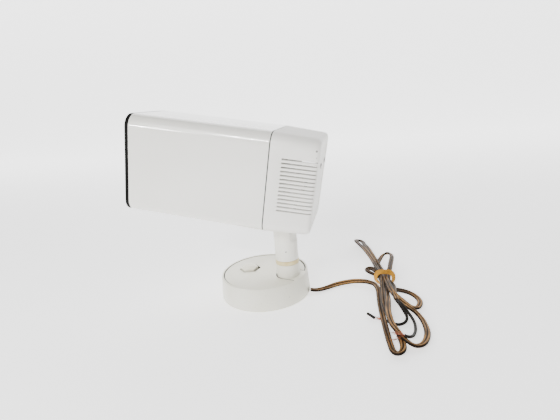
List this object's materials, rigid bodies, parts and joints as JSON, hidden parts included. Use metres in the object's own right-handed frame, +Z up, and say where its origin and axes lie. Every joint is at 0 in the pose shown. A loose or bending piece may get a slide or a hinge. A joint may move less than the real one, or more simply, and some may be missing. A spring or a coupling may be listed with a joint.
{
  "type": "adjustable floodlight lamp",
  "caption": "Box-shaped reflector floodlight with a louvred rear housing, tilting and swivelling on a round weighted table base with a switch and a tied flex.",
  "frame": {"origin": "centre of the base's underside, on the surface that it stands on", "axes": "+Z up; +X from the head's open front to its louvred rear, so the light leaves along -X; +Y to the left of someone looking along the beam from behind"},
  "size_m": [0.2914, 0.2585, 0.209],
  "materials": {
    "sleeve_enamel": "gloss white stove enamel",
    "housing_white": "satin white moulding",
    "base_white": "satin warm white moulding",
    "stem_enamel": "satin warm white enamel",
    "button_ivory": "gloss ivory moulding",
    "swivel_nylon": "yellowed nylon",
    "black_plastic": "matt black moulding",
    "steel": "bright steel",
    "zinc": "zinc plated",
    "brass": "bare brass",
    "iron": "rough casting",
    "felt": "felt",
    "bakelite": "dark brown phenolic",
    "bulb_glass": "frosted front, silvered inside",
    "flex_brown": "translucent brown vinyl",
    "tie_mustard": "matt mustard yellow"
  },
  "bodies": {
    "base": {"base_shell": "base_white", "base_plate": "base_white", "base_weight": "iron", "base_cover": "zinc", "base_pad": "felt", "cover_screw_1": "zinc", "cover_screw_2": "zinc", "cover_screw_3": "zinc", "switch_body": "black_plastic", "cord_bush": "base_white", "inner_lead": "flex_brown", "cord_clamp": "bakelite", "terminal_block": "button_ivory", "swivel_ring": "swivel_nylon", "swivel_nipple": "zinc", "swivel_nut_lower": "zinc", "cord_lead": "flex_brown", "cord_hank": "flex_brown", "cord_tie": "tie_mustard", "bare_core_end": "flex_brown"},
    "stem": {"stem_tube": "stem_enamel", "stem_lead": "flex_brown", "swivel_spring_washer": "steel", "swivel_nut_upper": "zinc", "friction_washer_1": "black_plastic", "friction_washer_2": "black_plastic"},
    "head": {"tilt_bracket": "zinc", "bracket_screw_1": "zinc", "bracket_screw_2": "zinc", "tilt_bolt": "zinc", "tilt_nut": "zinc", "head_sleeve": "sleeve_enamel", "sleeve_screw_1": "zinc", "sleeve_screw_2": "zinc", "front_rim": "black_plastic", "front_baffle": "black_plastic", "rear_housing": "housing_white", "rear_panel": "housing_white", "panel_screw_1": "steel", "panel_screw_2": "steel", "chassis_plate": "zinc", "chassis_screw_1": "zinc", "chassis_screw_2": "zinc", "chassis_screw_3": "zinc", "chassis_screw_4": "zinc", "lampholder": "bakelite", "lampholder_shell": "brass", "holder_nipple": "zinc", "holder_nut": "zinc", "bulb_glass": "bulb_glass", "bulb_cap": "brass", "head_lead": "flex_brown"},
    "button": {"switch_button": "button_ivory"}
  },
  "joints": [
    {"name": "swivel", "type": "hinge", "parent": "base", "child": "stem", "pos_m": [0.0291, -0.00879, 0.042], "axis": [0, 0, 1], "range_deg": [-165, 165]},
    {"name": "tilt", "type": "hinge", "parent": "stem", "child": "head", "pos_m": [0.0291, -0.00879, 0.097], "axis": [0, 1, 0], "range_deg": [-26, 34]},
    {"name": "switch_slide", "type": "slide", "parent": "base", "child": "button", "axis": [0.9573, -0.289, 0], "range_m": [0, 0.0024]}
  ]
}
